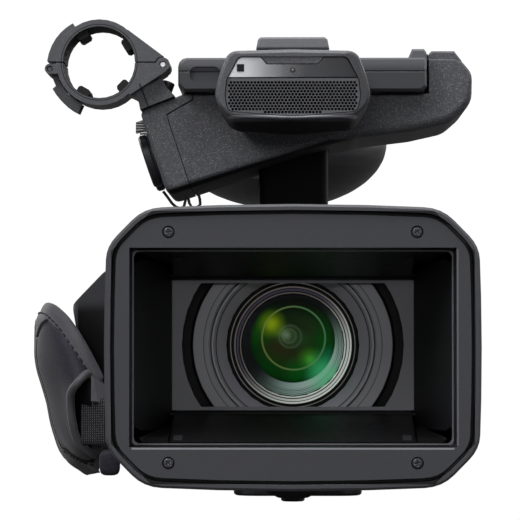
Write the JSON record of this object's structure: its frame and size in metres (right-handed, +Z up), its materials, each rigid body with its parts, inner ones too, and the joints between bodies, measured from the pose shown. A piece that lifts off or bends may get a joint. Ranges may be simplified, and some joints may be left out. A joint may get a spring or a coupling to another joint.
{
  "type": "camcorder",
  "caption": "Professional handheld camcorder with hooded zoom lens, side hand belt, top handle, microphone clamp, swing-out screen and viewfinder.",
  "frame": {"origin": "On the underside of the tripod base, between its two threaded sockets and below the lens axis", "axes": "-Y is where the lens looks, +Y is towards the eyecup, +Z is up, +X is the camera's left with its controls"},
  "size_m": [0.1794, 0.3693, 0.1886],
  "materials": {
    "shell_plastic": "moulded, satin",
    "dark_plastic": "moulded, satin black",
    "textured_shell": "fine speckled paint",
    "rubber": "matt",
    "grey_plastic": "satin",
    "silver": "bright turned",
    "optical_glass": "polished, green coated",
    "padded_leather": "soft grain",
    "webbing": "coarse weave",
    "gloss_plastic": "polished",
    "red_plastic": "satin red",
    "steel": "brushed"
  },
  "bodies": {
    "camera": {"lens_barrel": "dark_plastic", "lens_front_ring": "shell_plastic", "front_lens": "optical_glass", "lens_inner_ring": "silver", "inner_lens": "optical_glass", "hood_shell": "shell_plastic", "hood_baffle": "dark_plastic", "hood_rear_plate": "grey_plastic", "body_left_case": "shell_plastic", "body_right_case": "shell_plastic", "tripod_base": "steel", "grip_body": "shell_plastic", "belt_pad": "padded_leather", "belt_webbing": "webbing", "handle_housing": "textured_shell", "handle_neck": "dark_plastic", "xlr_block": "textured_shell", "xlr_socket_1": "dark_plastic", "xlr_socket_2": "dark_plastic", "handle_bar": "textured_shell", "accessory_shoe": "steel", "screen_hinge_pin": "steel", "mic_pod": "shell_plastic", "mic_grille": "dark_plastic", "mic_strip": "gloss_plastic", "mic_holder_lower_jaw": "shell_plastic", "mic_holder_pin": "steel", "mic_cable_clip": "steel"},
    "iris_ring_body": {"iris_ring": "rubber"},
    "zoom_ring_body": {"zoom_ring": "rubber"},
    "focus_ring_body": {"focus_ring": "rubber"},
    "shutter_lever_body": {"shutter_lever": "dark_plastic"},
    "shutter_upper_body": {"shutter_upper": "dark_plastic"},
    "shutter_lower_body": {"shutter_lower": "dark_plastic"},
    "hood_release": {"hood_release_button": "dark_plastic"},
    "nd_lever": {"nd_filter_lever": "dark_plastic"},
    "gain_toggle": {"gain_switch": "grey_plastic"},
    "balance_toggle": {"white_balance_switch": "grey_plastic"},
    "menu_wheel": {"menu_dial": "dark_plastic"},
    "audio_wheel_1": {"audio_dial_1": "dark_plastic"},
    "audio_wheel_2": {"audio_dial_2": "dark_plastic"},
    "assign_key": {"assign_button": "dark_plastic"},
    "card_door": {"card_cover": "shell_plastic"},
    "battery_pack": {"battery": "dark_plastic"},
    "battery_catch": {"battery_release": "grey_plastic"},
    "grip_rocker": {"grip_zoom_rocker": "rubber"},
    "power_ring": {"power_switch": "dark_plastic"},
    "grip_rec_key": {"grip_rec_button": "red_plastic"},
    "xlr_tab_1": {"xlr_release_1": "silver"},
    "xlr_tab_2": {"xlr_release_2": "silver"},
    "handle_rocker": {"handle_zoom_rocker": "rubber"},
    "handle_rec_key": {"handle_rec_button": "red_plastic"},
    "screen": {"screen_panel": "shell_plastic", "screen_glass": "gloss_plastic"},
    "upper_jaw": {"mic_holder_upper_jaw": "shell_plastic"},
    "holder_latch": {"mic_holder_latch": "shell_plastic"},
    "finder": {"viewfinder": "shell_plastic", "eyepiece_lens": "optical_glass", "eyecup": "rubber"}
  },
  "joints": [
    {"name": "iris_turn", "type": "hinge", "parent": "camera", "child": "iris_ring_body", "pos_m": [0, -0.041, 0.061], "axis": [0, 1, 0], "continuous": true},
    {"name": "zoom_turn", "type": "hinge", "parent": "camera", "child": "zoom_ring_body", "pos_m": [0, -0.059, 0.061], "axis": [0, 1, 0], "continuous": true},
    {"name": "focus_turn", "type": "hinge", "parent": "camera", "child": "focus_ring_body", "pos_m": [0, -0.085, 0.061], "axis": [0, 1, 0], "continuous": true},
    {"name": "shutter_slide", "type": "slide", "parent": "camera", "child": "shutter_lever_body", "axis": [0, 1, 0], "range_m": [0, 0.012]},
    {"name": "shutter_upper_swing", "type": "hinge", "parent": "camera", "child": "shutter_upper_body", "pos_m": [0, -0.1255, 0.087], "axis": [1, 0, 0], "range_deg": [0, 54]},
    {"name": "shutter_lower_swing", "type": "hinge", "parent": "camera", "child": "shutter_lower_body", "pos_m": [0, -0.1255, 0.035], "axis": [-1, 0, 0], "range_deg": [0, 54]},
    {"name": "hood_release_press", "type": "slide", "parent": "camera", "child": "hood_release", "axis": [0, 0, 1], "range_m": [0, 0.0008], "stiffness_N_per_m": 600},
    {"name": "nd_lever_slide", "type": "slide", "parent": "camera", "child": "nd_lever", "axis": [0, 0, 1], "range_m": [0, 0.015]},
    {"name": "gain_toggle_tilt", "type": "hinge", "parent": "camera", "child": "gain_toggle", "pos_m": [0.0423, -0.016, 0.022], "axis": [0, 1, 0], "range_deg": [-18, 18]},
    {"name": "balance_toggle_tilt", "type": "hinge", "parent": "camera", "child": "balance_toggle", "pos_m": [0.0423, 0.004, 0.022], "axis": [0, 1, 0], "range_deg": [-18, 18]},
    {"name": "menu_turn", "type": "hinge", "parent": "camera", "child": "menu_wheel", "pos_m": [0.045, 0.032, 0.03], "axis": [1, 0, 0], "continuous": true},
    {"name": "audio_turn_1", "type": "hinge", "parent": "camera", "child": "audio_wheel_1", "pos_m": [0.045, 0.052, 0.088], "axis": [1, 0, 0], "continuous": true},
    {"name": "audio_turn_2", "type": "hinge", "parent": "camera", "child": "audio_wheel_2", "pos_m": [0.045, 0.074, 0.088], "axis": [1, 0, 0], "continuous": true},
    {"name": "assign_press", "type": "slide", "parent": "camera", "child": "assign_key", "axis": [-1, 0, 0], "range_m": [0, 0.001], "stiffness_N_per_m": 500},
    {"name": "card_door_swing", "type": "hinge", "parent": "camera", "child": "card_door", "pos_m": [0.047, 0.052, 0.04], "axis": [0, 0, -1], "range_deg": [0, 100]},
    {"name": "battery_slide", "type": "slide", "parent": "camera", "child": "battery_pack", "axis": [0, 0, 1], "range_m": [0, 0.014]},
    {"name": "battery_catch_slide", "type": "slide", "parent": "camera", "child": "battery_catch", "axis": [1, 0, 0], "range_m": [0, 0.003], "stiffness_N_per_m": 300},
    {"name": "grip_zoom_tilt", "type": "hinge", "parent": "camera", "child": "grip_rocker", "pos_m": [-0.054, 0.01, 0.095], "axis": [1, 0, 0], "range_deg": [-6, 6], "stiffness_Nm_per_rad": 0.3},
    {"name": "power_turn", "type": "hinge", "parent": "camera", "child": "power_ring", "pos_m": [-0.062, 0.084, 0.07], "axis": [0, 1, 0], "range_deg": [0, 40]},
    {"name": "grip_rec_press", "type": "slide", "parent": "camera", "child": "grip_rec_key", "axis": [0, -1, 0], "range_m": [0, 0.0012], "stiffness_N_per_m": 500},
    {"name": "xlr_release_press_1", "type": "slide", "parent": "camera", "child": "xlr_tab_1", "axis": [0.9492, 0, 0.3146], "range_m": [0, 0.001], "stiffness_N_per_m": 500},
    {"name": "xlr_release_press_2", "type": "slide", "parent": "camera", "child": "xlr_tab_2", "axis": [0.9492, 0, 0.3146], "range_m": [0, 0.001], "stiffness_N_per_m": 500},
    {"name": "handle_zoom_tilt", "type": "hinge", "parent": "camera", "child": "handle_rocker", "pos_m": [0, 0.044, 0.182], "axis": [1, 0, 0], "range_deg": [-7, 7], "stiffness_Nm_per_rad": 0.3},
    {"name": "handle_rec_press", "type": "slide", "parent": "camera", "child": "handle_rec_key", "axis": [0, 0, -1], "range_m": [0, 0.0012], "stiffness_N_per_m": 500},
    {"name": "screen_swing", "type": "hinge", "parent": "camera", "child": "screen", "pos_m": [0.053, -0.042, 0.1754], "axis": [0, 1, 0], "range_deg": [0, 90]},
    {"name": "holder_open", "type": "hinge", "parent": "camera", "child": "upper_jaw", "pos_m": [-0.0509, -0.06, 0.1709], "axis": [0, 1, 0], "range_deg": [0, 80]},
    {"name": "latch_open", "type": "hinge", "parent": "camera", "child": "holder_latch", "pos_m": [-0.0952, -0.06, 0.1692], "axis": [0, 1, 0], "range_deg": [0, 60]},
    {"name": "finder_tilt", "type": "hinge", "parent": "camera", "child": "finder", "pos_m": [0, 0.118, 0.164], "axis": [1, 0, 0], "range_deg": [0, 70]}
  ],
  "couplings": [
    {"joint": "shutter_upper_swing", "follows": "shutter_slide", "rad_per_m": 76.9},
    {"joint": "shutter_lower_swing", "follows": "shutter_slide", "rad_per_m": 76.9}
  ]
}
